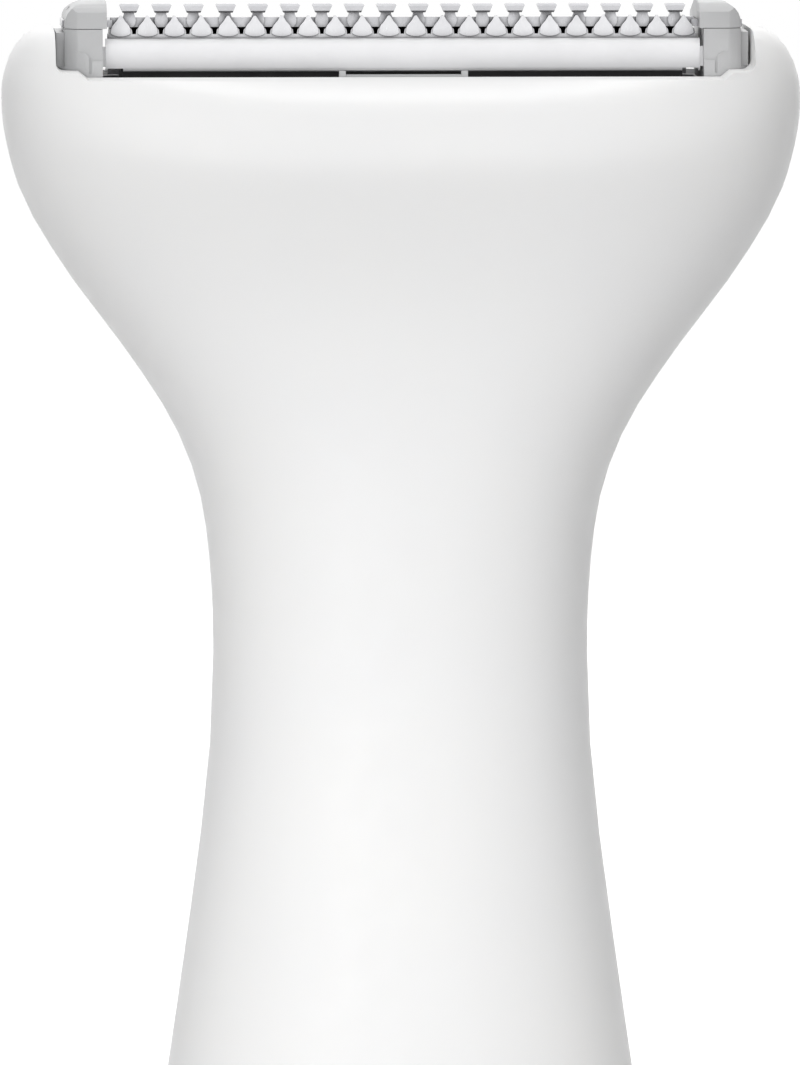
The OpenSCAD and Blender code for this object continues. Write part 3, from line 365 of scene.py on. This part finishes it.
def seam_tongue(name, side, line):
    """A moulded strip that closes the seam from inside, at side * X, and is half as thick at its ends."""
    section = tongue_section()
    count = len(section)
    points, faces = [], []
    for height, wall in line:
        size = 0.5 if height in (line[0][0], line[-1][0]) else 1
        face_x = wall - TONGUE_CLEAR
        points += [(side * (face_x - inward * size), across * size, height) for inward, across in section]
    for ring in range(0, len(points) - count, count):
        for i in range(count):
            j = (i + 1) % count
            faces.append((ring + i, ring + j, ring + count + j, ring + count + i))
    faces += [tuple(reversed(range(count))), tuple(range(len(points) - count, len(points)))]
    if side < 0:
        faces = [face[::-1] for face in faces]
    mesh = bpy.data.meshes.new(name)
    mesh.from_pydata(points, [], faces)
    mesh.materials.append(FINISHES["white_plastic"])
    tongue = bpy.data.objects.new(name, mesh)
    scene.collection.objects.link(tongue)
    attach(tongue, "housing")


TONGUE_LINE = tongue_line()
seam_tongue("seam_tongue_right", 1, TONGUE_LINE)
seam_tongue("seam_tongue_left", -1, TONGUE_LINE)


# ---- camera ----

VIEW_AZIMUTH = -2.5
VIEW_ELEVATION = 4
CAMERA_DISTANCE = 1.1
SENSOR_WIDTH_MM = 36
VIEW_WIDTH = (high.x - low.x) * 1.005
VIEW_MIDDLE_BELOW_TOP = 0.6665 * VIEW_WIDTH
VIEW_CENTRE = Vector((0, 0, high.z - VIEW_MIDDLE_BELOW_TOP))


def around(target, azimuth, elevation, distance):
    """A point seen from the front at azimuth 0, to the right of it at a positive azimuth."""
    turn, lift = math.radians(azimuth), math.radians(elevation)
    return target + distance * Vector((
        math.sin(turn) * math.cos(lift), -math.cos(turn) * math.cos(lift), math.sin(lift)))


def aimed(data, target, azimuth, elevation, distance):
    """Puts a camera or lamp into the scene at a distance from its target, and turns it to the target."""
    thing = bpy.data.objects.new(data.name, data)
    scene.collection.objects.link(thing)
    thing.location = around(target, azimuth, elevation, distance)
    thing.rotation_euler = (target - thing.location).to_track_quat("-Z", "Y").to_euler()
    return thing


def set_camera():
    """A camera with a long lens whose view is VIEW_WIDTH wide at the object."""
    data = bpy.data.cameras.new("camera")
    data.sensor_fit = "HORIZONTAL"
    data.sensor_width = SENSOR_WIDTH_MM
    data.lens = SENSOR_WIDTH_MM * CAMERA_DISTANCE / VIEW_WIDTH
    data.clip_start = 0.01
    data.clip_end = 10
    scene.camera = aimed(data, VIEW_CENTRE, VIEW_AZIMUTH, VIEW_ELEVATION, CAMERA_DISTANCE)


set_camera()


# ---- floor, light and background ----

def seen_directly(tree, other, direct):
    """Gives direct for what the camera sees, also by way of gloss or glass, and other for the rest."""
    path = tree.add("ShaderNodeLightPath")
    seen = path.outputs["Is Camera Ray"]
    for ray in ("Is Glossy Ray", "Is Transmission Ray"):
        either = tree.add("ShaderNodeMath")
        either.operation = "MAXIMUM"
        tree.link(seen, either.inputs[0])
        tree.link(path.outputs[ray], either.inputs[1])
        seen = either.outputs[0]
    level = tree.add("ShaderNodeMapRange")
    level.inputs["To Min"].default_value = other
    level.inputs["To Max"].default_value = direct
    tree.link(seen, level.inputs["Value"])
    return level.outputs["Result"]


def studio_floor(half_width=3.0):
    """A pale floor that shows white to the camera, apart from the object's shadow."""
    corners = [(x * half_width, y * half_width, 0) for x, y in ((-1, -1), (1, -1), (1, 1), (-1, 1))]
    mesh = bpy.data.meshes.new("floor")
    mesh.from_pydata(corners, [], [(0, 1, 2, 3)])
    floor = bpy.data.objects.new("floor", mesh)
    floor.location.z = low.z
    scene.collection.objects.link(floor)
    finish = Finish("floor_paper")
    finish.colour((0.5, 0.5, 0.5), (0.52, 0.52, 0.52), finish.noise(300, detail=2))
    finish.set(Roughness=0.9, Emission_Color=(1, 1, 1, 1))
    finish.link(seen_directly(finish, 0, 0.8), finish.shader.inputs["Emission Strength"])
    mesh.materials.append(finish.material)


def studio_sky(level):
    """Lights the object at a plain level, and shows white to the camera and in gloss and glass."""
    scene.world = bpy.data.worlds.new("studio")
    sky = Tree(scene.world)
    background = sky.add("ShaderNodeBackground")
    background.inputs["Color"].default_value = (1, 1, 1, 1)
    output = sky.add("ShaderNodeOutputWorld")
    sky.link(seen_directly(sky, level, 1.0), background.inputs["Strength"])
    sky.link(background.outputs["Background"], output.inputs["Surface"])


def soft_box(name, azimuth, elevation, distance, size, level):
    """A square lamp that adds about level times a surface's colour where it faces the lamp."""
    data = bpy.data.lights.new(name, "AREA")
    data.shape = "SQUARE"
    data.size = size
    data.energy = level * math.pi ** 2 * distance ** 2
    aimed(data, VIEW_CENTRE, azimuth, elevation, distance)


def snoot(name, azimuth, elevation, distance, height, radius, level):
    """A small spot lamp that adds level at a height on the object and fades out at a radius round it."""
    data = bpy.data.lights.new(name, "SPOT")
    data.spot_size = 2 * math.atan(radius / distance)
    data.spot_blend = 1
    data.shadow_soft_size = 4 * MM
    data.energy = level * 4 * math.pi ** 2 * distance ** 2
    aimed(data, Vector((0, 0, height)), azimuth, elevation, distance)


studio_floor()
studio_sky(0.34)
soft_box("front", azimuth=-14, elevation=20, distance=1.4, size=1.5, level=0.67)
soft_box("top", azimuth=-10, elevation=75, distance=1.3, size=1.0, level=0.18)
soft_box("behind", azimuth=170, elevation=65, distance=1.3, size=1.0, level=0.35)
soft_box("rear", azimuth=176, elevation=12, distance=1.4, size=1.0, level=0.12)
snoot("low", azimuth=-10, elevation=2, distance=1.2, height=76 * MM, radius=75 * MM, level=0.14)

scene.view_settings.view_transform = "Standard"
